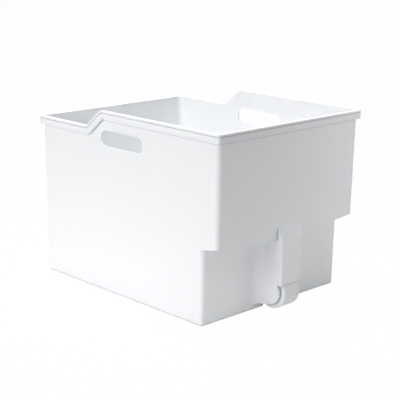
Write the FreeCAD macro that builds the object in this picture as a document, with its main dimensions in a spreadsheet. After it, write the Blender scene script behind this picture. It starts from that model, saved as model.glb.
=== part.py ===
import FreeCAD, Part
import math
import os
import Sketcher

# A moulded storage bin: an open tub with a stepped rim, and a roller under its inset end.
# Z is up. The origin is the middle of the bin's outline, on the surface that it stands on.
# X runs along the bin, from its low front end to the high end that carries the roller.

os.makedirs("parts", exist_ok=True)
doc = FreeCAD.newDocument("storage_bin")

# Coordinates closer than this, in millimetres, are taken as the same when edges are looked up.
CLOSE = 0.01

# The driving dimensions, in millimetres and degrees, each written once.
SIZES = [
    # The tub as a whole
    ("overall_length", 426.0, "rim edge to rim edge, along the bin"),
    ("overall_width", 324.0, "rim edge to rim edge, across the bin"),
    ("overall_height", 300.0, "the high rim above the floor"),
    ("rim_step", 29.5, "how far the low rim at the front end lies below the high rim"),
    ("draft_angle", 0.8, "lean of every wall, so that the moulding leaves its mould"),
    ("wall_thickness", 2.5, "all side walls"),
    ("floor_thickness", 2.5, "the bottom of the tub"),
    ("corner_radius", 4.0, "upright corners, outside, at the foot"),
    ("base_round", 3.5, "outside edge round the bottom"),
    ("base_round_inside", 3.0, "inside edge round the floor"),
    # The rim and its second rib
    ("rim_overhang", 4.0, "how far the rim and the rib stand out of the wall"),
    ("rim_corner_radius", 5.0, "upright corners of the rim and the rib"),
    ("rim_thickness", 3.2, "the top flange"),
    ("rib_pitch", 10.5, "top of the flange to top of the rib below it"),
    ("rib_thickness", 3.0, "the rib below the flange"),
    ("step_start", 125.5, "from the front rim edge to the foot of the ramp in the rim"),
    ("step_slope", 40.0, "slope of that ramp"),
    ("step_low_bend", 8.0, "bend at the foot of the ramp"),
    ("step_high_bend", 18.0, "bend at the head of the ramp"),
    # The hand slots
    ("slot_length", 99.5, "overall length of a hand slot"),
    ("slot_height", 25.5, "height of a hand slot"),
    ("slot_from_front", 207.5, "front rim edge to the middle of the slots"),
    ("slot_below_rim", 43.6, "high rim to the middle of the slots"),
    # The inset below the ledge, at the roller end
    ("inset_depth", 30.5, "how far the lower end wall stands back"),
    ("ledge_height", 127.5, "outer edge of the ledge, at the corners"),
    ("ledge_tilt", 12.0, "fall of the ledge's underside towards the inset wall"),
    ("ledge_fall", 4.0, "fall of the ledge towards the roller housing"),
    ("inset_corner_radius", 5.0, "upright corners of the inset"),
    # The roller housing, a pillar in the middle of the inset
    ("pillar_width", 46.0, "across its front and its parallel sides"),
    ("pillar_proud", 10.5, "how far its front stands out of the upper end wall"),
    ("pillar_root_round", 25.0, "sweep from its sides into the inset wall"),
    ("pillar_root_dip", 0.2, "how far that sweep dips into the wall, so that the two meet at a clean line"),
    ("pillar_edge_round", 3.0, "its two upright front edges"),
    ("pillar_shoulder_height", 118.0, "where its front starts to slope back"),
    ("pillar_shoulder_rise", 20.0, "height of the slope back to the end wall"),
    ("cheek_radius", 21.0, "lower edge of its two cheeks, an arc about the axle that bares the roller"),
    ("lip_angle", 38.0, "where that arc meets the lip of the front face, above the axle's level"),
    # The roller and its axle
    ("roller_diameter", 58.0, "over the tread"),
    ("roller_width", 35.0, "side to side"),
    ("roller_edge_bevel", 1.5, "edges of the tread"),
    ("roller_recess_diameter", 37.0, "dish in each side"),
    ("roller_recess_depth", 12.0, "depth of that dish"),
    ("roller_hub_diameter", 17.0, "hub round the bore"),
    ("roller_lift", 2.0, "tread above the floor while the bin stands flat"),
    ("roller_forward", 15.5, "axle in front of the inset wall's foot"),
    ("roller_clearance", 1.0, "gap round the tread in its well"),
    ("roller_side_gap", 1.0, "gap at each side of the roller"),
    ("axle_diameter", 8.0, "the pin"),
    ("axle_running_gap", 0.08, "radial gap of the roller's bore on the pin"),
    ("axle_seat_gap", 0.02, "radial gap of the pin in its sockets"),
    ("axle_end_gap", 0.3, "gap at each end of the pin"),
    ("axle_chamfer", 0.8, "ends of the pin"),
    ("socket_depth", 3.5, "how far each socket reaches into its cheek"),
    ("socket_throat", 7.2, "width of the way in, a little under the pin's diameter"),
]
sheet = doc.addObject("Spreadsheet::Sheet", "sizes")
size = {}
for row, (alias, number, note) in enumerate(SIZES, start=1):
    sheet.set("A%d" % row, alias)
    sheet.set("B%d" % row, str(number))
    sheet.set("C%d" % row, note)
    sheet.setAlias("B%d" % row, alias)
doc.recompute()
for alias, number, note in SIZES:
    size[alias] = float(sheet.get(alias))

# Places that follow from the sizes. Each is a formula, so that no number is written twice.
PLACES = [
    ("lean", "tan(sizes.draft_angle)"),
    ("half_rim_length", "sizes.overall_length / 2"),
    ("half_rim_width", "sizes.overall_width / 2"),
    ("half_foot_length", "half_rim_length - sizes.rim_overhang - sizes.overall_height * lean"),
    ("half_foot_width", "half_rim_width - sizes.rim_overhang - sizes.overall_height * lean"),
    ("core_height", "sizes.overall_height - sizes.floor_thickness + sizes.wall_thickness"),
    ("core_half_length", "half_foot_length - sizes.wall_thickness + sizes.floor_thickness * lean"),
    ("core_half_width", "half_foot_width - sizes.wall_thickness + sizes.floor_thickness * lean"),
    ("inset_x", "half_foot_length - sizes.inset_depth"),
    ("core_inset_x", "inset_x - sizes.wall_thickness + sizes.floor_thickness * lean"),
    # The low rim, and the centres of the two bends of the ramp up to the high rim
    ("low_rim_height", "sizes.overall_height - sizes.rim_step"),
    ("step_foot_x", "-half_rim_length + sizes.step_start"),
    ("step_head_x", "step_foot_x + sizes.rim_step / tan(sizes.step_slope)"),
    ("low_bend_x", "step_foot_x - sizes.step_low_bend * tan(sizes.step_slope / 2)"),
    ("low_bend_z", "low_rim_height + sizes.step_low_bend"),
    ("high_bend_x", "step_head_x + sizes.step_high_bend * tan(sizes.step_slope / 2)"),
    ("high_bend_z", "sizes.overall_height - sizes.step_high_bend"),
    ("rib_top", "sizes.rib_pitch"),
    ("rib_bottom", "sizes.rib_pitch + sizes.rib_thickness"),
    # Hand slots
    ("slot_x", "-half_rim_length + sizes.slot_from_front"),
    ("slot_z", "sizes.overall_height - sizes.slot_below_rim"),
    ("slot_half", "(sizes.slot_length - sizes.slot_height) / 2"),
    # The ledge over the inset falls to the inset wall and to the middle
    ("tilt", "tan(sizes.ledge_tilt)"),
    ("fall", "tan(sizes.ledge_fall)"),
    ("cut_margin", "sizes.pillar_proud + sizes.rim_overhang"),
    ("ledge_start_x", "inset_x - sizes.inset_depth"),
    ("ledge_end_x", "half_foot_length + cut_margin"),
    ("ledge_half_width", "half_foot_width + cut_margin"),
    ("ledge_start_drop", "tilt * (half_foot_length - ledge_start_x)"),
    ("ledge_side_z", "sizes.ledge_height + fall * cut_margin"),
    ("ledge_middle_z", "sizes.ledge_height - fall * half_foot_width"),
    ("ledge_cover", "sizes.wall_thickness * sqrt(1 + tilt ^ 2 + fall ^ 2)"),
    ("inset_top", "sizes.ledge_height + sizes.inset_corner_radius"),
    # The roller housing in plan: parallel sides, then a sweep that dips a little into the inset wall
    ("pillar_reach", "sizes.inset_depth + sizes.pillar_proud"),
    ("pillar_floor", "axle_z - sizes.cheek_radius"),
    ("pillar_x", "inset_x + lean * pillar_floor"),
    ("pillar_front_x", "pillar_x + pillar_reach"),
    ("pillar_half", "sizes.pillar_width / 2"),
    ("sweep_x", "pillar_x + sizes.pillar_root_round - sizes.pillar_root_dip"),
    ("sweep_y", "pillar_half + sizes.pillar_root_round"),
    ("pillar_spread", "2 * sweep_y"),
    ("pillar_back_x", "inset_x - sizes.pillar_root_round"),
    ("shoulder_slope", "sizes.pillar_shoulder_rise / sizes.pillar_proud"),
    ("shoulder_top", "sizes.pillar_shoulder_height + sizes.pillar_shoulder_rise"),
    ("shoulder_front_x", "pillar_front_x + lean * (sizes.pillar_shoulder_height - pillar_floor)"),
    ("shoulder_wall_x", "half_foot_length + lean * shoulder_top"),
    ("lip_z", "axle_z + sizes.cheek_radius * sin(sizes.lip_angle)"),
    # The hollow inside the housing keeps the wall thickness all round
    ("hollow_z", "pillar_floor + sizes.wall_thickness"),
    ("hollow_x", "inset_x + lean * hollow_z"),
    ("hollow_front_x", "hollow_x + pillar_reach - sizes.wall_thickness"),
    ("hollow_round", "sizes.pillar_root_round + sizes.wall_thickness"),
    ("hollow_half", "pillar_half - sizes.wall_thickness"),
    ("hollow_back_x", "inset_x - 2 * sizes.pillar_root_round"),
    ("hollow_cheek_radius", "sizes.cheek_radius - sizes.wall_thickness"),
    ("hollow_lip_z", "lip_z + sizes.wall_thickness"),
    ("shoulder_cover", "sizes.wall_thickness * (sqrt(1 + shoulder_slope ^ 2) - shoulder_slope)"),
    ("hollow_shoulder", "sizes.pillar_shoulder_height - shoulder_cover"),
    ("hollow_top", "shoulder_top - shoulder_cover"),
    ("hollow_shoulder_x", "hollow_front_x + lean * (hollow_shoulder - hollow_z)"),
    ("hollow_wall_x", "half_foot_length - sizes.wall_thickness + lean * hollow_top"),
    # The roller, its well and its axle
    ("axle_x", "inset_x + sizes.roller_forward"),
    ("axle_z", "sizes.roller_diameter / 2 + sizes.roller_lift"),
    ("well_radius", "sizes.roller_diameter / 2 + sizes.roller_clearance"),
    ("well_half", "sizes.roller_width / 2 + sizes.roller_side_gap"),
    ("house_radius", "well_radius + sizes.wall_thickness"),
    ("bore_radius", "sizes.axle_diameter / 2 + sizes.axle_running_gap"),
    ("seat_radius", "sizes.axle_diameter / 2 + sizes.axle_seat_gap"),
    ("socket_half", "well_half + sizes.socket_depth"),
    ("pin_half", "socket_half - sizes.axle_end_gap"),
    ("boss_radius", "seat_radius + sizes.wall_thickness"),
    ("boss_half", "socket_half + sizes.wall_thickness"),
    ("boss_foot", "sizes.socket_throat / 2 + sizes.wall_thickness"),
    # The origin is the middle of the whole bin's outline, and the roller reaches past the rear rim
    ("roller_reach", "axle_x + sizes.roller_diameter / 2 - half_rim_length"),
    ("centre_shift", "-(roller_reach + abs(roller_reach)) / 4"),
    ("web_half", "sizes.roller_width / 2 - sizes.roller_recess_depth"),
]
places = doc.addObject("Spreadsheet::Sheet", "places")
for row, (alias, formula) in enumerate(PLACES, start=1):
    places.set("A%d" % row, alias)
    places.setAlias("B%d" % row, alias)
for row, (alias, formula) in enumerate(PLACES, start=1):
    places.set("B%d" % row, "=" + formula)
doc.recompute()
for alias, formula in PLACES:
    size[alias] = float(places.get(alias))


def value(formula):
    """The number that a formula on the two sheets gives now."""
    return float(sheet.evalExpression(formula))


def plane_of(body, role):
    for feature in body.Origin.OriginFeatures:
        if feature.Role == role:
            return feature
    raise ValueError(role)


def new_sketch(body, name, role):
    sketch = body.newObject("Sketcher::SketchObject", name)
    sketch.AttachmentSupport = [(plane_of(body, role), "")]
    sketch.MapMode = "FlatFace"
    return sketch


def pin(sketch, geometry, point, across, up):
    """Pin a point of a sketch to the sketch's origin by two formulas."""
    for kind, formula in (("DistanceX", across), ("DistanceY", up)):
        index = sketch.addConstraint(Sketcher.Constraint(kind, -1, 1, geometry, point, value(formula)))
        sketch.setExpression("Constraints[%d]" % index, formula)


def bind(sketch, kind, geometry, formula):
    """Set a line's or an arc's own size by a formula."""
    index = sketch.addConstraint(Sketcher.Constraint(kind, geometry, value(formula)))
    sketch.setExpression("Constraints[%d]" % index, formula)


def join(sketch, first, first_end, second, second_end, smooth=False):
    kind = "Tangent" if smooth else "Coincident"
    sketch.addConstraint(Sketcher.Constraint(kind, first, first_end, second, second_end))


def add_line(sketch, start, end):
    return sketch.addGeometry(Part.LineSegment(FreeCAD.Vector(*start, 0), FreeCAD.Vector(*end, 0)), False)


def add_arc(sketch, centre, radius, start_angle, end_angle):
    circle = Part.Circle(FreeCAD.Vector(*centre, 0), FreeCAD.Vector(0, 0, 1), radius)
    arc = Part.ArcOfCircle(circle, math.radians(start_angle), math.radians(end_angle))
    return sketch.addGeometry(arc, False)


def polygon(sketch, corners):
    """A closed outline of straight lines through corners that are given as pairs of formulas."""
    points = [(value(across), value(up)) for across, up in corners]
    lines = [add_line(sketch, points[n], points[(n + 1) % len(points)]) for n in range(len(points))]
    for n, line in enumerate(lines):
        join(sketch, line, 2, lines[(n + 1) % len(lines)], 1)
        pin(sketch, line, 1, *corners[n])
    return lines


def rounded_rectangle(sketch, low_x, high_x, half_y, radius):
    """A rectangle with four round corners, between two X formulas and plus and minus a Y formula."""
    left, right, side, corner = value(low_x), value(high_x), value(half_y), value(radius)
    turns = [
        ("(%s) - (%s)" % (high_x, radius), "(%s) - (%s)" % (half_y, radius), 0),
        ("(%s) + (%s)" % (low_x, radius), "(%s) - (%s)" % (half_y, radius), 90),
        ("(%s) + (%s)" % (low_x, radius), "(%s) - (%s)" % (radius, half_y), 180),
        ("(%s) - (%s)" % (high_x, radius), "(%s) - (%s)" % (radius, half_y), 270),
    ]
    arcs = [add_arc(sketch, (value(cx), value(cy)), corner, turn, turn + 90) for cx, cy, turn in turns]
    sides = [
        add_line(sketch, (right - corner, side), (left + corner, side)),
        add_line(sketch, (left, side - corner), (left, corner - side)),
        add_line(sketch, (left + corner, -side), (right - corner, -side)),
        add_line(sketch, (right, corner - side), (right, side - corner)),
    ]
    for n in range(4):
        join(sketch, arcs[n], 2, sides[n], 1, smooth=True)
        join(sketch, sides[n], 2, arcs[(n + 1) % 4], 1, smooth=True)
        pin(sketch, arcs[n], 3, turns[n][0], turns[n][1])
        bind(sketch, "Radius", arcs[n], radius)


def stepped_line(sketch, depth, reach):
    """The rim's line with its ramp, a normal distance of depth below the top, out to plus and minus reach."""
    below = value(depth)
    end = value(reach)
    slope = size["step_slope"]
    low = size["low_rim_height"] - below
    high = size["overall_height"] - below
    low_centre = (size["low_bend_x"], size["low_bend_z"])
    high_centre = (size["high_bend_x"], size["high_bend_z"])
    low_radius = size["step_low_bend"] + below
    high_radius = size["step_high_bend"] - below
    lean = math.radians(slope)
    ramp_start = (low_centre[0] + low_radius * math.sin(lean), low_centre[1] - low_radius * math.cos(lean))
    ramp_end = (high_centre[0] - high_radius * math.sin(lean), high_centre[1] + high_radius * math.cos(lean))
    front = add_line(sketch, (-end, low), (low_centre[0], low))
    low_bend = add_arc(sketch, low_centre, low_radius, 270, 270 + slope)
    ramp = add_line(sketch, ramp_start, ramp_end)
    high_bend = add_arc(sketch, high_centre, high_radius, 90, 90 + slope)
    rear = add_line(sketch, (high_centre[0], high), (end, high))
    join(sketch, front, 2, low_bend, 1, smooth=True)
    join(sketch, low_bend, 2, ramp, 1, smooth=True)
    join(sketch, ramp, 2, high_bend, 2, smooth=True)
    join(sketch, high_bend, 1, rear, 1, smooth=True)
    pin(sketch, low_bend, 3, "places.low_bend_x", "places.low_bend_z")
    pin(sketch, high_bend, 3, "places.high_bend_x", "places.high_bend_z")
    bind(sketch, "Radius", low_bend, "sizes.step_low_bend + (%s)" % depth)
    bind(sketch, "Radius", high_bend, "sizes.step_high_bend - (%s)" % depth)
    for line, point, formula in ((front, 1, "-(%s)" % reach), (rear, 2, reach)):
        sketch.addConstraint(Sketcher.Constraint("Horizontal", line))
        index = sketch.addConstraint(Sketcher.Constraint("DistanceX", -1, 1, line, point, value(formula)))
        sketch.setExpression("Constraints[%d]" % index, formula)
    return front, rear, (-end, low), (end, high)


def pad(body, sketch, length, taper=None, symmetric=False, down=False):
    feature = body.newObject("PartDesign::Pad", sketch.Name + "_pad")
    feature.Profile = sketch
    feature.setExpression("Length", length)
    if symmetric:
        feature.SideType = "Symmetric"
    if taper:
        feature.setExpression("TaperAngle", taper)
    feature.Reversed = down
    sketch.Visibility = False
    return feature


def pocket(body, sketch, length, symmetric=True, up=False):
    feature = body.newObject("PartDesign::Pocket", sketch.Name + "_pocket")
    feature.Profile = sketch
    feature.setExpression("Length", length)
    if symmetric:
        feature.SideType = "Symmetric"
    feature.Reversed = up
    sketch.Visibility = False
    return feature


def pillar_plan(sketch, front_x, half_width, back_x, radius):
    """The roller housing in plan: a front edge, parallel sides, and sweeps that meet the inset wall."""
    front, half, back, bend = value(front_x), value(half_width), value(back_x), value(radius)
    centre = (size["sweep_x"], size["sweep_y"])
    left = centre[0] - bend
    edge = add_line(sketch, (front, -half), (front, half))
    pin(sketch, edge, 1, front_x, "-(%s)" % half_width)
    pin(sketch, edge, 2, front_x, half_width)
    upper = add_line(sketch, (front, half), (centre[0], half))
    upper_sweep = add_arc(sketch, centre, bend, 180, 270)
    upper_run = add_line(sketch, (left, centre[1]), (back, centre[1]))
    rear = add_line(sketch, (back, centre[1]), (back, -centre[1]))
    lower_run = add_line(sketch, (back, -centre[1]), (left, -centre[1]))
    lower_sweep = add_arc(sketch, (centre[0], -centre[1]), bend, 90, 180)
    lower = add_line(sketch, (centre[0], -half), (front, -half))
    join(sketch, edge, 2, upper, 1)
    join(sketch, upper, 2, upper_sweep, 2, smooth=True)
    join(sketch, upper_sweep, 1, upper_run, 1)
    join(sketch, upper_run, 2, rear, 1)
    join(sketch, rear, 2, lower_run, 1)
    join(sketch, lower_run, 2, lower_sweep, 2)
    join(sketch, lower_sweep, 1, lower, 1, smooth=True)
    join(sketch, lower, 2, edge, 1)
    pin(sketch, upper_sweep, 3, "places.sweep_x", "places.sweep_y")
    pin(sketch, lower_sweep, 3, "places.sweep_x", "-places.sweep_y")
    bind(sketch, "Radius", upper_sweep, radius)
    bind(sketch, "Radius", lower_sweep, radius)
    sketch.addConstraint(Sketcher.Constraint("Horizontal", upper_run))
    sketch.addConstraint(Sketcher.Constraint("Horizontal", lower_run))
    for kind, line, point, formula in (("DistanceY", upper_run, 1, "places.sweep_y"),
                                       ("DistanceX", upper_run, 2, back_x),
                                       ("DistanceY", lower_run, 2, "-places.sweep_y"),
                                       ("DistanceX", lower_run, 1, back_x)):
        index = sketch.addConstraint(Sketcher.Constraint(kind, -1, 1, line, point, value(formula)))
        sketch.setExpression("Constraints[%d]" % index, formula)


def cut_below_ledge(body, name, cover):
    """Cut away what lies below the ledge: a pentagon across the bin, swept along the tilt of the ledge."""
    sketch = new_sketch(body, name, "YZ_Plane")
    raise_sketch(sketch, "places.ledge_start_x")
    side = "places.ledge_side_z - places.ledge_start_drop + (%s)" % cover
    middle = "places.ledge_middle_z - places.ledge_start_drop + (%s)" % cover
    wide = "places.ledge_half_width"
    low = "-sizes.ledge_height / 2"
    polygon(sketch, [("-" + wide, low), (wide, low), (wide, side), ("0", middle), ("-" + wide, side)])
    cut = pocket(body, sketch, "places.ledge_end_x - places.ledge_start_x", symmetric=False)
    cut.UseCustomVector = True
    cut.AlongSketchNormal = True
    cut.Direction = FreeCAD.Vector(1, 0, size["tilt"])
    cut.setExpression("Direction.z", "places.tilt")
    return cut


def raise_sketch(sketch, formula):
    sketch.AttachmentOffset = FreeCAD.Placement(FreeCAD.Vector(0, 0, value(formula)), FreeCAD.Rotation())
    sketch.setExpression("AttachmentOffset.Base.z", formula)


def cut_shoulder(body, name, front_x, lower_z, wall_x, upper_z, half):
    """Slope the top of the housing back until it meets the end wall."""
    sketch = new_sketch(body, name, "XZ_Plane")
    away = "(%s) + sizes.pillar_proud" % front_x
    polygon(sketch, [(front_x, lower_z), (away, lower_z), (away, "(%s) + sizes.wall_thickness" % upper_z),
                     (wall_x, upper_z)])
    return pocket(body, sketch, half)


def cut_cheeks(body, name, front_x, radius, lip_z, half):
    """Trim the foot of the housing to an arc about the axle, below the lip of its front."""
    bend, lip = value(radius), value(lip_z)
    centre = (size["axle_x"], size["axle_z"])
    turn = math.degrees(math.asin((lip - centre[1]) / bend))
    meet = centre[0] + bend * math.cos(math.radians(turn))
    far = value(front_x) + size["pillar_proud"]
    low = centre[1] - bend - size["wall_thickness"]
    sketch = new_sketch(body, name, "XZ_Plane")
    arc = add_arc(sketch, centre, bend, 270, 360 + turn)
    under = add_line(sketch, (meet, lip), (far, lip))
    front = add_line(sketch, (far, lip), (far, low))
    foot = add_line(sketch, (far, low), (centre[0], low))
    back = add_line(sketch, (centre[0], low), (centre[0], centre[1] - bend))
    join(sketch, arc, 2, under, 1)
    join(sketch, under, 2, front, 1)
    join(sketch, front, 2, foot, 1)
    join(sketch, foot, 2, back, 1)
    join(sketch, back, 2, arc, 1)
    away = "(%s) + sizes.pillar_proud" % front_x
    below = "places.axle_z - (%s) - sizes.wall_thickness" % radius
    pin(sketch, arc, 3, "places.axle_x", "places.axle_z")
    pin(sketch, under, 2, away, lip_z)
    pin(sketch, front, 2, away, below)
    pin(sketch, foot, 2, "places.axle_x", below)
    bind(sketch, "Radius", arc, radius)
    sketch.addConstraint(Sketcher.Constraint("Horizontal", under))
    sketch.addConstraint(Sketcher.Constraint("Vertical", back))
    return pocket(body, sketch, half)


def arch(body, name, radius, foot_half, length):
    """A round-topped cut about the axle, open below: the roller's well, or a boss or socket for its pin."""
    bend, half = value(radius), value(foot_half)
    centre = (size["axle_x"], size["axle_z"])
    bottom = -size["base_round"]
    drop = math.sqrt(max(bend * bend - half * half, 0.0))
    turn = math.degrees(math.atan2(drop, half))
    sketch = new_sketch(body, name, "XZ_Plane")
    top = add_arc(sketch, centre, bend, -turn, 180 + turn)
    left = add_line(sketch, (centre[0] - half, centre[1] - drop), (centre[0] - half, bottom))
    foot = add_line(sketch, (centre[0] - half, bottom), (centre[0] + half, bottom))
    right = add_line(sketch, (centre[0] + half, bottom), (centre[0] + half, centre[1] - drop))
    join(sketch, top, 2, left, 1)
    join(sketch, left, 2, foot, 1)
    join(sketch, foot, 2, right, 1)
    join(sketch, right, 2, top, 1)
    pin(sketch, top, 3, "places.axle_x", "places.axle_z")
    if drop > 0:
        bind(sketch, "Radius", top, radius)
        sketch.addConstraint(Sketcher.Constraint("Vertical", left))
        sketch.addConstraint(Sketcher.Constraint("Vertical", right))
    else:
        pin(sketch, left, 1, "places.axle_x - (%s)" % radius, "places.axle_z")
        index = sketch.addConstraint(Sketcher.Constraint("DistanceY", -1, 1, right, 2, centre[1]))
        sketch.setExpression("Constraints[%d]" % index, "places.axle_z")
    pin(sketch, foot, 1, "places.axle_x - (%s)" % foot_half, "-sizes.base_round")
    pin(sketch, foot, 2, "places.axle_x + (%s)" % foot_half, "-sizes.base_round")
    return pocket(body, sketch, length)


def edges_where(feature, test):
    """The names of the edges of a feature's shape that pass a test on their two ends."""
    names = []
    for n, edge in enumerate(feature.Shape.Edges, start=1):
        ends = [vertex.Point for vertex in edge.Vertexes]
        if len(ends) == 2 and test(ends[0], ends[1], edge):
            names.append("Edge%d" % n)
    return names


def fillet(body, base, names, radius, label):
    feature = body.newObject("PartDesign::Fillet", label)
    feature.Base = (base, names)
    feature.setExpression("Radius", radius)
    return feature


# The outside of the tub: everything that the mould's outer half shapes.
outside = doc.addObject("PartDesign::Body", "tub_outside")
sketch = new_sketch(outside, "upper_plan", "XY_Plane")
rounded_rectangle(sketch, "-places.half_foot_length", "places.half_foot_length", "places.half_foot_width",
                  "sizes.corner_radius")
pad(outside, sketch, "sizes.overall_height", taper="sizes.draft_angle")
cut_below_ledge(outside, "below_ledge", "0")
sketch = new_sketch(outside, "lower_plan", "XY_Plane")
rounded_rectangle(sketch, "-places.half_foot_length / 2", "places.inset_x", "places.half_foot_width",
                  "sizes.inset_corner_radius")
pad(outside, sketch, "places.inset_top", taper="sizes.draft_angle")
sketch = new_sketch(outside, "pillar_plan", "XY_Plane")
raise_sketch(sketch, "places.pillar_floor")
pillar_plan(sketch, "places.pillar_front_x", "places.pillar_half", "places.pillar_back_x",
            "sizes.pillar_root_round")
pillar = pad(outside, sketch, "places.shoulder_top - places.pillar_floor", taper="sizes.draft_angle")
doc.recompute()
front = size["pillar_front_x"] - CLOSE
upright = edges_where(pillar, lambda a, b, e: abs(a.z - b.z) > CLOSE and min(a.x, b.x) > front)
fillet(outside, pillar, upright, "sizes.pillar_edge_round", "pillar_edges")
cut_shoulder(outside, "shoulder", "places.shoulder_front_x", "sizes.pillar_shoulder_height",
             "places.shoulder_wall_x", "places.shoulder_top", "places.pillar_spread")
cheeks = cut_cheeks(outside, "cheeks", "places.pillar_front_x", "sizes.cheek_radius", "places.lip_z",
                    "places.pillar_spread")
doc.recompute()
bottom = edges_where(cheeks, lambda a, b, e: abs(a.z) < CLOSE and abs(b.z) < CLOSE)
fillet(outside, cheeks, bottom, "sizes.base_round", "bottom_round")

# The rim flange, and the rib that follows it below, both stepped in side view.
for name, top, low in (("flange", "0", "sizes.rim_thickness"),
                       ("rib", "places.rib_top", "places.rib_bottom")):
    sketch = new_sketch(outside, name, "XZ_Plane")
    upper_front, upper_rear, upper_left, upper_right = stepped_line(sketch, top, "places.half_rim_length")
    lower_front, lower_rear, lower_left, lower_right = stepped_line(sketch, low, "places.half_rim_length")
    front_end = add_line(sketch, upper_left, lower_left)
    rear_end = add_line(sketch, upper_right, lower_right)
    join(sketch, front_end, 1, upper_front, 1)
    join(sketch, front_end, 2, lower_front, 1)
    join(sketch, rear_end, 1, upper_rear, 2)
    join(sketch, rear_end, 2, lower_rear, 2)
    band = pad(outside, sketch, "sizes.overall_width", symmetric=True)
    doc.recompute()
    edge_x, edge_y = size["half_rim_length"] - CLOSE, size["half_rim_width"] - CLOSE
    corners = edges_where(band, lambda a, b, e: min(abs(a.x), abs(b.x)) > edge_x
                          and min(abs(a.y), abs(b.y)) > edge_y
                          and abs(a.x - b.x) < CLOSE and abs(a.y - b.y) < CLOSE)
    fillet(outside, band, corners, "sizes.rim_corner_radius", name + "_corners")

# Everything above the rim line goes.
sketch = new_sketch(outside, "above_rim", "XZ_Plane")
rim_front, rim_rear, rim_left, rim_right = stepped_line(sketch, "0", "sizes.overall_length")
clear_z = "sizes.overall_height * 1.5"
lid = value(clear_z)
up_front = add_line(sketch, rim_left, (rim_left[0], lid))
over = add_line(sketch, (rim_left[0], lid), (rim_right[0], lid))
up_rear = add_line(sketch, (rim_right[0], lid), rim_right)
join(sketch, up_front, 1, rim_front, 1)
join(sketch, up_front, 2, over, 1)
join(sketch, over, 2, up_rear, 1)
join(sketch, up_rear, 2, rim_rear, 2)
pin(sketch, over, 1, "-sizes.overall_length", clear_z)
pin(sketch, over, 2, "sizes.overall_length", clear_z)
pocket(outside, sketch, "sizes.overall_width * 1.5")

# One obround hand slot through each long side.
sketch = new_sketch(outside, "hand_slots", "XZ_Plane")
bend = size["slot_height"] / 2
slot_left = (size["slot_x"] - size["slot_half"], size["slot_z"])
slot_right = (size["slot_x"] + size["slot_half"], size["slot_z"])
left_end = add_arc(sketch, slot_left, bend, 90, 270)
right_end = add_arc(sketch, slot_right, bend, 270, 450)
slot_top = add_line(sketch, (slot_right[0], slot_right[1] + bend), (slot_left[0], slot_left[1] + bend))
slot_foot = add_line(sketch, (slot_left[0], slot_left[1] - bend), (slot_right[0], slot_right[1] - bend))
join(sketch, left_end, 2, slot_foot, 1, smooth=True)
join(sketch, slot_foot, 2, right_end, 1, smooth=True)
join(sketch, right_end, 2, slot_top, 1, smooth=True)
join(sketch, slot_top, 2, left_end, 1, smooth=True)
pin(sketch, left_end, 3, "places.slot_x - places.slot_half", "places.slot_z")
pin(sketch, right_end, 3, "places.slot_x + places.slot_half", "places.slot_z")
bind(sketch, "Radius", left_end, "sizes.slot_height / 2")
pocket(outside, sketch, "sizes.overall_width * 1.5")

# The roller's well, and the two blind keyhole sockets that its pin snaps up into.
arch(outside, "well", "places.well_radius", "places.well_radius", "places.well_half * 2")
arch(outside, "sockets", "places.seat_radius", "sizes.socket_throat / 2", "places.socket_half * 2")

# The inside of the tub: what the mould's core fills, one wall thickness in from the outside.
core = doc.addObject("PartDesign::Body", "tub_core")
sketch = new_sketch(core, "core_upper_plan", "XY_Plane")
raise_sketch(sketch, "sizes.floor_thickness")
rounded_rectangle(sketch, "-places.core_half_length", "places.core_half_length", "places.core_half_width",
                  "sizes.corner_radius")
pad(core, sketch, "places.core_height", taper="sizes.draft_angle")
cut_below_ledge(core, "core_below_ledge", "places.ledge_cover")
sketch = new_sketch(core, "core_lower_plan", "XY_Plane")
raise_sketch(sketch, "sizes.floor_thickness")
rounded_rectangle(sketch, "-places.core_half_length / 2", "places.core_inset_x", "places.core_half_width",
                  "sizes.inset_corner_radius")
pad(core, sketch, "places.inset_top", taper="sizes.draft_angle")
sketch = new_sketch(core, "hollow_plan", "XY_Plane")
raise_sketch(sketch, "places.hollow_z")
pillar_plan(sketch, "places.hollow_front_x", "places.hollow_half", "places.hollow_back_x",
            "places.hollow_round")
pad(core, sketch, "places.hollow_top - places.hollow_z", taper="sizes.draft_angle")
cut_shoulder(core, "hollow_shoulder", "places.hollow_shoulder_x", "places.hollow_shoulder",
             "places.hollow_wall_x", "places.hollow_top", "places.pillar_spread")
hollow_cheeks = cut_cheeks(core, "hollow_cheeks", "places.hollow_front_x", "places.hollow_cheek_radius",
                           "places.hollow_lip_z", "places.pillar_spread")
doc.recompute()
low = size["floor_thickness"]
foot = edges_where(hollow_cheeks, lambda a, b, e: abs(a.z - low) < CLOSE and abs(b.z - low) < CLOSE)
fillet(core, hollow_cheeks, foot, "sizes.base_round_inside", "floor_round")
arch(core, "house", "places.house_radius", "places.house_radius", "sizes.pillar_width")
arch(core, "bosses", "places.boss_radius", "places.boss_foot", "places.boss_half * 2")
doc.recompute()

tub = doc.addObject("Part::Cut", "bin_tub")
tub.Base = outside
tub.Tool = core
tub.Label = "bin_tub"
tub.setExpression("Placement.Base.x", "places.centre_shift")

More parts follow.
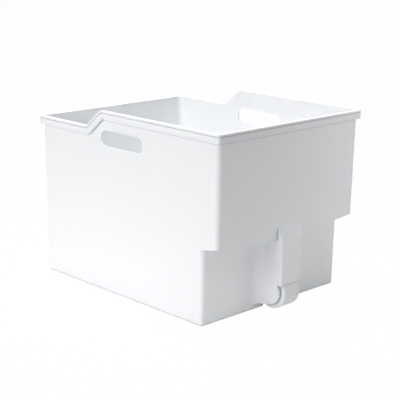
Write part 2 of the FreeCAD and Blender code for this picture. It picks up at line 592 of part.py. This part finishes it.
# The roller: a moulded wheel, dished on both sides, drawn lying on its axle along Y.
roller = doc.addObject("PartDesign::Body", "roller")
sketch = new_sketch(roller, "roller_profile", "XY_Plane")
polygon(sketch, [
    ("places.bore_radius", "-sizes.roller_width / 2"),
    ("sizes.roller_hub_diameter / 2", "-sizes.roller_width / 2"),
    ("sizes.roller_hub_diameter / 2", "-places.web_half"),
    ("sizes.roller_recess_diameter / 2", "-places.web_half"),
    ("sizes.roller_recess_diameter / 2", "-sizes.roller_width / 2"),
    ("sizes.roller_diameter / 2", "-sizes.roller_width / 2"),
    ("sizes.roller_diameter / 2", "sizes.roller_width / 2"),
    ("sizes.roller_recess_diameter / 2", "sizes.roller_width / 2"),
    ("sizes.roller_recess_diameter / 2", "places.web_half"),
    ("sizes.roller_hub_diameter / 2", "places.web_half"),
    ("sizes.roller_hub_diameter / 2", "sizes.roller_width / 2"),
    ("places.bore_radius", "sizes.roller_width / 2"),
])
turned = roller.newObject("PartDesign::Revolution", "roller_turned")
turned.Profile = sketch
turned.ReferenceAxis = (sketch, ["V_Axis"])
turned.Angle = 360
sketch.Visibility = False
doc.recompute()
tread = size["roller_diameter"] / 2 - CLOSE
rims = ["Edge%d" % n for n, edge in enumerate(turned.Shape.Edges, start=1)
        if isinstance(edge.Curve, Part.Circle) and edge.Curve.Radius > tread]
edges = roller.newObject("PartDesign::Chamfer", "tread_edges")
edges.Base = (turned, rims)
edges.setExpression("Size", "sizes.roller_edge_bevel")

# The axle pin: a plain rod with chamfered ends, along Y.
pin_body = doc.addObject("PartDesign::Body", "axle_pin")
sketch = new_sketch(pin_body, "pin_profile", "XZ_Plane")
circle = sketch.addGeometry(Part.Circle(FreeCAD.Vector(0, 0, 0), FreeCAD.Vector(0, 0, 1),
                                        size["axle_diameter"] / 2), False)
sketch.addConstraint(Sketcher.Constraint("Coincident", circle, 3, -1, 1))
bind(sketch, "Radius", circle, "sizes.axle_diameter / 2")
rod = pad(pin_body, sketch, "places.pin_half * 2", symmetric=True)
doc.recompute()
ends = ["Edge%d" % n for n, edge in enumerate(rod.Shape.Edges, start=1)
        if isinstance(edge.Curve, Part.Circle)]
bevel = pin_body.newObject("PartDesign::Chamfer", "pin_ends")
bevel.Base = (rod, ends)
bevel.setExpression("Size", "sizes.axle_chamfer")

for body in (roller, pin_body):
    body.setExpression("Placement.Base.x", "places.axle_x + places.centre_shift")
    body.setExpression("Placement.Base.z", "places.axle_z")
doc.recompute()

# Nothing is written unless every object and every piece is sound.
for item in doc.Objects:
    if "Invalid" in item.State or "Error" in item.State:
        raise RuntimeError("%s failed: %s" % (item.Name, item.State))
pieces = (tub, roller, pin_body)
for piece in pieces:
    if piece.Shape.isNull() or not piece.Shape.isValid() or len(piece.Shape.Solids) != 1:
        raise RuntimeError("%s is not one sound solid" % piece.Label)
for piece in pieces:
    piece.Shape.exportStep("parts/%s.step" % piece.Label)
    box = piece.Shape.optimalBoundingBox()
    print("%-10s %8.1f cm3  X %.1f to %.1f  Y %.1f to %.1f  Z %.1f to %.1f" % (
        piece.Label, piece.Shape.Volume / 1000, box.XMin, box.XMax, box.YMin, box.YMax, box.ZMin, box.ZMax))
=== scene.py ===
# %% [markdown]
# # A moulded storage bin on a white table
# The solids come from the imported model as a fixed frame, in metres, already in their places.
# This script gives them their finishes, then adds the floor, the light and the camera.

# %% Load the frame and note its box
import math
import bmesh
import bpy
from mathutils import Matrix, Vector


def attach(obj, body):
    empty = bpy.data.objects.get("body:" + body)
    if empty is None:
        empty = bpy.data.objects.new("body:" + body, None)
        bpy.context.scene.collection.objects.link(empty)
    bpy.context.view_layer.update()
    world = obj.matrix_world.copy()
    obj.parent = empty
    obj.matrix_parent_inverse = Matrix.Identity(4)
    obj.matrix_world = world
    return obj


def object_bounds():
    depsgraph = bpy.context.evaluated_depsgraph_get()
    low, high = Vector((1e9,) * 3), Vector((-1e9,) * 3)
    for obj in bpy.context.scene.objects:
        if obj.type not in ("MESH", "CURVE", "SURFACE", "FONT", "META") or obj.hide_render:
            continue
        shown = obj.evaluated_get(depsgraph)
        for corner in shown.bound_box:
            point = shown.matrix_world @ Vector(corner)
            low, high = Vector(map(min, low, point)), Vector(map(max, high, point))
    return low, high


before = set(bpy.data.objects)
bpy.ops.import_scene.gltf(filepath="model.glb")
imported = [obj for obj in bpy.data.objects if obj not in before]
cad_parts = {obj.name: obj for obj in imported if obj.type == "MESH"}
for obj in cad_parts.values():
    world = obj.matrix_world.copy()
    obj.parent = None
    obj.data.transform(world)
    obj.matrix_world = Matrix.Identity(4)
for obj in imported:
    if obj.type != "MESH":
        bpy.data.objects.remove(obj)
cad_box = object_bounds()

# %% [markdown]
# Colours are picked the way a maker reads them off a colour card, as sRGB hex. Blender's shaders
# work in linear light, so one small function turns a hex value into linear red, green and blue.

# %% Colours
def linear(code, alpha=1.0):
    """An sRGB hex colour such as #F2F2F0 as the linear colour that a shader socket takes."""
    parts = [int(code[n:n + 2], 16) / 255 for n in (1, 3, 5)]
    return tuple(c / 12.92 if c <= 0.04045 else ((c + 0.055) / 1.055) ** 2.4 for c in parts) + (alpha,)


print("card white in linear light", [round(c, 3) for c in linear("#F4F4F1")])

# %% [markdown]
# Every finish here is a small network of nodes. One helper adds a node, sets what it needs and
# links its inputs, so that each network reads as a list of steps from top to bottom.

# %% A helper that adds one node
def add(tree, kind, settings=None, **inputs):
    """Add a node. settings are its properties; inputs are values, or sockets to link from."""
    node = tree.nodes.new(kind)
    for name, chosen in (settings or {}).items():
        setattr(node, name, chosen)
    for name, given in inputs.items():
        by_number = name[0] == "i" and name[1:].isdigit()
        socket = node.inputs[int(name[1:]) if by_number else name.replace("_", " ")]
        if isinstance(given, bpy.types.NodeSocket):
            tree.links.new(given, socket)
        else:
            socket.default_value = given
    return node


def new_finish(name):
    """An empty material with its output node."""
    material = bpy.data.materials.new(name)
    material.use_nodes = True
    material.node_tree.nodes.clear()
    return material, material.node_tree, material.node_tree.nodes.new("ShaderNodeOutputMaterial")


print("helpers ready")

# %% [markdown]
# The tub is polypropylene, injection moulded in a steel mould whose cavity was lightly spark
# eroded. To the eye that is a clean white with a soft sheen: no weave and no gloss, but a very
# fine even grain, and long shallow waves where the wall cooled unevenly behind the ribs.
# The plastic lets a little light into itself, so its thin rim looks softer than painted metal.
# The grain could be an image, but a noise texture in real millimetres needs no unwrapping.

# %% Moulded polypropylene
def moulded_polypropylene(name, colour, painted_shade_colour, roughness, grain_mm=0.55, grain_depth_mm=0.012):
    """White polypropylene as it leaves a lightly textured mould."""
    material, tree, output = new_finish(name)
    place = add(tree, "ShaderNodeTexCoord")
    # Real spark erosion is near 0.1 mm; drawn at about 0.5 mm so that a close view can show it.
    grain = add(tree, "ShaderNodeTexNoise", {"noise_dimensions": "3D"}, Vector=place.outputs["Object"],
                Scale=1000 / grain_mm, Detail=2.0, Roughness=0.6)
    waves = add(tree, "ShaderNodeTexNoise", {"noise_dimensions": "3D"}, Vector=place.outputs["Object"],
                Scale=1000 / 160, Detail=1.0, Roughness=0.4)
    scuffs = add(tree, "ShaderNodeTexNoise", {"noise_dimensions": "3D"}, Vector=place.outputs["Object"],
                 Scale=1000 / 35, Detail=4.0, Roughness=0.55)
    sheen = add(tree, "ShaderNodeMapRange", Value=scuffs.outputs["Fac"], From_Min=0.35, From_Max=0.7,
                To_Min=roughness - 0.03, To_Max=roughness + 0.05)
    shallow = add(tree, "ShaderNodeBump", Height=waves.outputs["Fac"], Strength=0.35, Distance=0.0006)
    fine = add(tree, "ShaderNodeBump", Height=grain.outputs["Fac"], Strength=0.6,
               Distance=grain_depth_mm / 1000, Normal=shallow.outputs["Normal"])
    # Painted shade: the base colour is darkened to a grey in tight corners, such as those under the rim.
    # Occlusion within 5 mm finds the corners, and only the tightest are toned.
    corner = add(tree, "ShaderNodeAmbientOcclusion", {"samples": 8}, Distance=0.005)
    open_share = add(tree, "ShaderNodeMapRange", Value=corner.outputs["AO"], From_Min=0.6, From_Max=0.9)
    painted_shade_mix = add(tree, "ShaderNodeMix", {"data_type": "RGBA"}, i0=open_share.outputs["Result"],
               i6=linear(painted_shade_colour), i7=linear(colour))
    plastic = add(tree, "ShaderNodeBsdfPrincipled", Base_Color=painted_shade_mix.outputs[2], IOR=1.49,
                  Roughness=sheen.outputs["Result"], Normal=fine.outputs["Normal"], Subsurface_Weight=0.12,
                  Subsurface_Radius=(1.0, 0.95, 0.9), Subsurface_Scale=0.002)
    tree.links.new(plastic.outputs["BSDF"], output.inputs["Surface"])
    return material


# The second colour of each finish is the grey of the painted shade in tight corners.
tub_white = moulded_polypropylene("white_moulded_polypropylene", "#F5F6F8", "#CBCED1", 0.42)
roller_white = moulded_polypropylene("white_moulded_roller_plastic", "#F4F5F7", "#D0D2D4", 0.34, grain_mm=0.9)
print("finishes", tub_white.name, roller_white.name)

# %% [markdown]
# The axle pin is a drawn steel rod. Drawing leaves fine lines along it, so its roughness is
# streaked along its length: the noise is squeezed to 1.5 mm round the rod and stretched along Y.

# %% Drawn steel
steel, tree, output = new_finish("drawn_steel_rod")
place = add(tree, "ShaderNodeTexCoord")
stretch = add(tree, "ShaderNodeMapping", Vector=place.outputs["Object"], Scale=(1.0, 0.04, 1.0))
lines = add(tree, "ShaderNodeTexNoise", {"noise_dimensions": "3D"}, Vector=stretch.outputs["Vector"],
            Scale=1000 / 1.5, Detail=2.0)
streaks = add(tree, "ShaderNodeMapRange", Value=lines.outputs["Fac"], To_Min=0.22, To_Max=0.38)
metal = add(tree, "ShaderNodeBsdfPrincipled", Base_Color=linear("#B9BABC"), Metallic=1.0,
            Roughness=streaks.outputs["Result"])
tree.links.new(metal.outputs["BSDF"], output.inputs["Surface"])
print("finish", steel.name)

# %% [markdown]
# The solids are already right in shape, so they keep it. Each gets its finish in its material slot.

# %% Dress the solids
def dress(node, material):
    """Put one finish on a solid from the frame."""
    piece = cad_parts[node]
    piece.data.materials.clear()
    piece.data.materials.append(material)
    print(node, "gets", material.name, "faces", len(piece.data.polygons))


dress("bin_tub", tub_white)
dress("roller", roller_white)
dress("axle_pin", steel)

# %% [markdown]
# Under the top flange the real rim has a fine groove, and below the groove a deep band that
# stands out as far as the flange. The solid has the flange, and a rib where the band ends, with
# open wall between them, so this piece fills the band down to the rib. It could be a swept curve,
# but the band follows the ramp in the rim, and two bends of different radius are plain to work
# out point by point: the radii grow by the band's depth in one bend and shrink by it in the other.

# %% The rim line
mm = 0.001
half_length = 213 * mm
half_width = 162 * mm
rim_corner = 5 * mm
shift = cad_box[0][0] + half_length
high_rim = cad_box[1][2]
low_rim = high_rim - 29.5 * mm
slope = math.radians(40)
low_bend = 8 * mm
high_bend = 18 * mm
ramp_foot = -half_length + 125.5 * mm
ramp_head = ramp_foot + (high_rim - low_rim) / math.tan(slope)
low_centre = ramp_foot - low_bend * math.tan(slope / 2)
high_centre = ramp_head + high_bend * math.tan(slope / 2)


def rim_height(x, depth):
    """Height, at a place along the bin, of the line that runs depth below the top of the rim."""
    low_radius = low_bend + depth
    high_radius = high_bend - depth
    if x <= low_centre:
        return low_rim - depth
    if x < low_centre + low_radius * math.sin(slope):
        return low_rim + low_bend - math.sqrt(low_radius ** 2 - (x - low_centre) ** 2)
    if x < high_centre - high_radius * math.sin(slope):
        on_ramp = x - low_centre - low_radius * math.sin(slope)
        return low_rim + low_bend - low_radius * math.cos(slope) + on_ramp * math.tan(slope)
    if x < high_centre:
        return high_rim - high_bend + math.sqrt(high_radius ** 2 - (x - high_centre) ** 2)
    return high_rim - depth


print("rim", [round(rim_height(x * mm, 0) / mm, 1) for x in (-200, -90, -70, -50, 0)])

# %% [markdown]
# The rim's edge is walked once round, with its points closer together along the ramp. At each
# point the same small section is set square to the edge: the groove's floor, a softly broken
# upper edge, the upright face, and a foot that runs a little way into the rib.

# %% The band below the flange
def rim_outline():
    """Points round the rim's edge with their outward directions, closer together along the ramp."""
    points = []
    along = [-0.2] + [n * 2 * mm for n in range(-52, -17)] + [0.0, 0.1, 0.2]
    inner_x = half_length - rim_corner
    inner_y = half_width - rim_corner
    for corner, (sx, sy) in enumerate(((1, 1), (-1, 1), (-1, -1), (1, -1))):
        for step in range(9):
            turn = math.radians(90 * corner + 90 * step / 8)
            away = (math.cos(turn), math.sin(turn))
            points.append((sx * inner_x + away[0] * rim_corner, sy * inner_y + away[1] * rim_corner, away))
        if corner == 0:
            points += [(x, half_width, (0, 1)) for x in reversed(along)]
        if corner == 2:
            points += [(x, -half_width, (0, -1)) for x in along]
    return points


groove = 1.2 * mm
groove_depth = 0.8 * mm
flange = 3.2 * mm
rib_top = 10.5 * mm
edge = 0.35 * mm
reach_in = 4.9 * mm
into_flange = 0.1 * mm
into_rib = 0.05 * mm
band_top = flange + groove
section = [(reach_in, flange - into_flange), (groove_depth, flange - into_flange), (groove_depth, band_top),
           (edge, band_top), (0.1 * mm, band_top + 0.1 * mm), (0, band_top + edge),
           (0, rib_top + into_rib), (reach_in, rib_top + into_rib)]
outline = rim_outline()
corners = [(x - inward * away[0] + shift, y - inward * away[1], rim_height(x, depth))
           for x, y, away in outline for inward, depth in section]
across_count = len(section)
faces = []
for n in range(len(outline)):
    here = n * across_count
    there = (n + 1) % len(outline) * across_count
    for k in range(across_count):
        after = (k + 1) % across_count
        faces.append((here + k, here + after, there + after, there + k))
band_mesh = bpy.data.meshes.new("rim_band")
band_mesh.from_pydata(corners, [], faces)
band_shape = bmesh.new()
band_shape.from_mesh(band_mesh)
bmesh.ops.recalc_face_normals(band_shape, faces=band_shape.faces)
for face in band_shape.faces:
    face.smooth = True
for bend in band_shape.edges:
    bend.smooth = bend.calc_face_angle(0) < math.radians(30)
band_shape.to_mesh(band_mesh)
band_shape.free()
band = bpy.data.objects.new("rim_band", band_mesh)
bpy.context.scene.collection.objects.link(band)
band_mesh.materials.append(tub_white)
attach(band, "tub")
print("rim band", len(band_mesh.polygons), "faces", [round(c, 3) for c in band.dimensions])

# %% [markdown]
# The bin stands on a wide sheet of white paper, and all that lies beyond it is white too, as in a
# product studio. To the camera the paper shows as pure white, which a plain diffuse white can't
# reach without overlighting the bin, so most of what the camera sees of it is its own white, and
# the rest is the lit paper, which keeps the bin's soft shadow.

# %% White paper sweep
paper, tree, output = new_finish("white_paper_sweep")
route = add(tree, "ShaderNodeLightPath")
lit = add(tree, "ShaderNodeBsdfDiffuse", Color=linear("#FAFAFA"))
glow = add(tree, "ShaderNodeEmission", Color=(1.0, 1.0, 1.0, 1.0), Strength=1.0)
seen = add(tree, "ShaderNodeMath", {"operation": "MAXIMUM"}, i0=route.outputs["Is Camera Ray"],
           i1=route.outputs["Is Glossy Ray"])
share = add(tree, "ShaderNodeMath", {"operation": "MULTIPLY"}, i0=seen.outputs[0], i1=0.985)
blend = add(tree, "ShaderNodeMixShader", i0=share.outputs[0], i1=lit.outputs["BSDF"],
            i2=glow.outputs["Emission"])
tree.links.new(blend.outputs["Shader"], output.inputs["Surface"])

floor_mesh = bpy.data.meshes.new("floor_sheet")
floor_mesh.from_pydata([(-6, -6, 0), (6, -6, 0), (6, 6, 0), (-6, 6, 0)], [], [(0, 1, 2, 3)])
floor = bpy.data.objects.new("floor_sheet", floor_mesh)
bpy.context.scene.collection.objects.link(floor)
floor_mesh.materials.append(paper)
print("floor sheet", floor.dimensions[:])

# %% [markdown]
# The world shows as plain white to the camera, and as a faint glow to the bin. All the rest of
# the light comes from softboxes, because an even glow would light the roller end as much as the
# long side, and in the photograph that end is in half shade.

# %% World
world = bpy.data.worlds.new("white_cove")
bpy.context.scene.world = world
world.use_nodes = True
tree = world.node_tree
tree.nodes.clear()
route = add(tree, "ShaderNodeLightPath")
cove = add(tree, "ShaderNodeBackground", Color=linear("#FFFFFF"), Strength=0.05)
white = add(tree, "ShaderNodeBackground", Color=(1.0, 1.0, 1.0, 1.0), Strength=1.0)
seen = add(tree, "ShaderNodeMath", {"operation": "MAXIMUM"}, i0=route.outputs["Is Camera Ray"],
           i1=route.outputs["Is Glossy Ray"])
seen = add(tree, "ShaderNodeMath", {"operation": "MAXIMUM"}, i0=seen.outputs[0],
           i1=route.outputs["Is Transmission Ray"])
mix = add(tree, "ShaderNodeMixShader", i0=seen.outputs[0], i1=cove.outputs["Background"],
          i2=white.outputs["Background"])
end = add(tree, "ShaderNodeOutputWorld", Surface=mix.outputs["Shader"])
print("world", world.name)

# %% [markdown]
# Two softboxes to the left of the camera make the long side the brightest. One to the right and
# above it gives the roller end its half shade, a touch cooler than the rest, and a small card
# lifts the far edge of that end. Two behind the bin light the inner faces through the open top,
# and a narrow one overhead reaches down between the walls. A very faint card near the floor opens
# up the shade in the inset. Their powers were found from one picture for each lamp alone: light
# adds up, so the mix that comes nearest to the photograph's grey levels can be worked out.

# %% Lamps
def soft_lamp(name, place, aim, width, height, power, spread=180):
    """A rectangular softbox at a place, turned to a point; a small spread makes a narrow beam."""
    lamp = bpy.data.lights.new(name, "AREA")
    lamp.shape = "RECTANGLE"
    lamp.size = width
    lamp.size_y = height
    lamp.energy = power
    lamp.spread = math.radians(spread)
    holder = bpy.data.objects.new(name, lamp)
    holder.visible_camera = False
    holder.location = place
    holder.rotation_euler = (Vector(aim) - Vector(place)).to_track_quat("-Z", "Y").to_euler()
    bpy.context.scene.collection.objects.link(holder)
    print(name, power, "W")
    return holder


soft_lamp("side_softbox_high", (0.0, -2.77, 1.6), (0, 0, 0.15), 1.2, 0.8, 33)
soft_lamp("side_softbox_low", (0.1, -3.0, 1.25), (0, 0, 0.15), 2.2, 1.4, 14.5)
right_box = soft_lamp("high_softbox_right", (1.2, -0.6, 2.0), (0, 0, 0.25), 1.0, 1.0, 7)
right_box.data.color = (0.95, 0.975, 1.0)
soft_lamp("rear_softbox", (0.3, 1.8, 2.0), (0, 0, 0.2), 1.2, 0.8, 5)
soft_lamp("rear_left_softbox", (-1.5, 2.5, 1.2), (0, 0, 0.15), 1.5, 1.5, 7)
soft_lamp("rear_right_card", (0.5, 0.42, 0.36), (0.2, 0.12, 0.24), 0.25, 0.25, 0.5)
soft_lamp("overhead_softbox", (-0.35, 0, 1.8), (-0.1, 0, 0.2), 1.0, 0.8, 4.2, spread=60)
soft_lamp("low_card", (0.62, -0.17, 0.08), (0.165, -0.11, 0.015), 0.1, 0.1, 0.0045, spread=24)

# %% [markdown]
# The camera stands off the near corner, a little above the rim, with a long lens. Its place was
# worked out from the bin's own edges in the photograph: their slopes give the direction and the
# distance, and the upright corners give the small tilt of the frame.

# %% Camera
azimuth = math.radians(45.73)
pitch = math.radians(14.56)
roll = math.radians(0.714)
focal_pixels = 1109.0
distance = 1.8028
aim = Vector((0.0375, -0.0297, 0.150))
across = Vector((-math.sin(azimuth), math.cos(azimuth), 0))
forward = Vector((across.x * math.cos(pitch), across.y * math.cos(pitch), -math.sin(pitch)))
level_right = forward.cross(Vector((0, 0, 1))).normalized()
level_up = level_right.cross(forward)
right = level_right * math.cos(roll) + level_up * math.sin(roll)
up = level_up * math.cos(roll) - level_right * math.sin(roll)
lens = bpy.data.cameras.new("studio_camera")
lens.sensor_width = 36.0
lens.lens = focal_pixels / 400 * 36.0
camera = bpy.data.objects.new("studio_camera", lens)
bpy.context.scene.collection.objects.link(camera)
place = aim - forward * distance
camera.matrix_world = Matrix((
    (right.x, up.x, -forward.x, place.x),
    (right.y, up.y, -forward.y, place.y),
    (right.z, up.z, -forward.z, place.z),
    (0, 0, 0, 1)))
bpy.context.scene.camera = camera
bpy.context.scene.view_settings.view_transform = "Standard"
print("camera at", [round(c, 3) for c in place], "lens", round(lens.lens, 1), "mm")
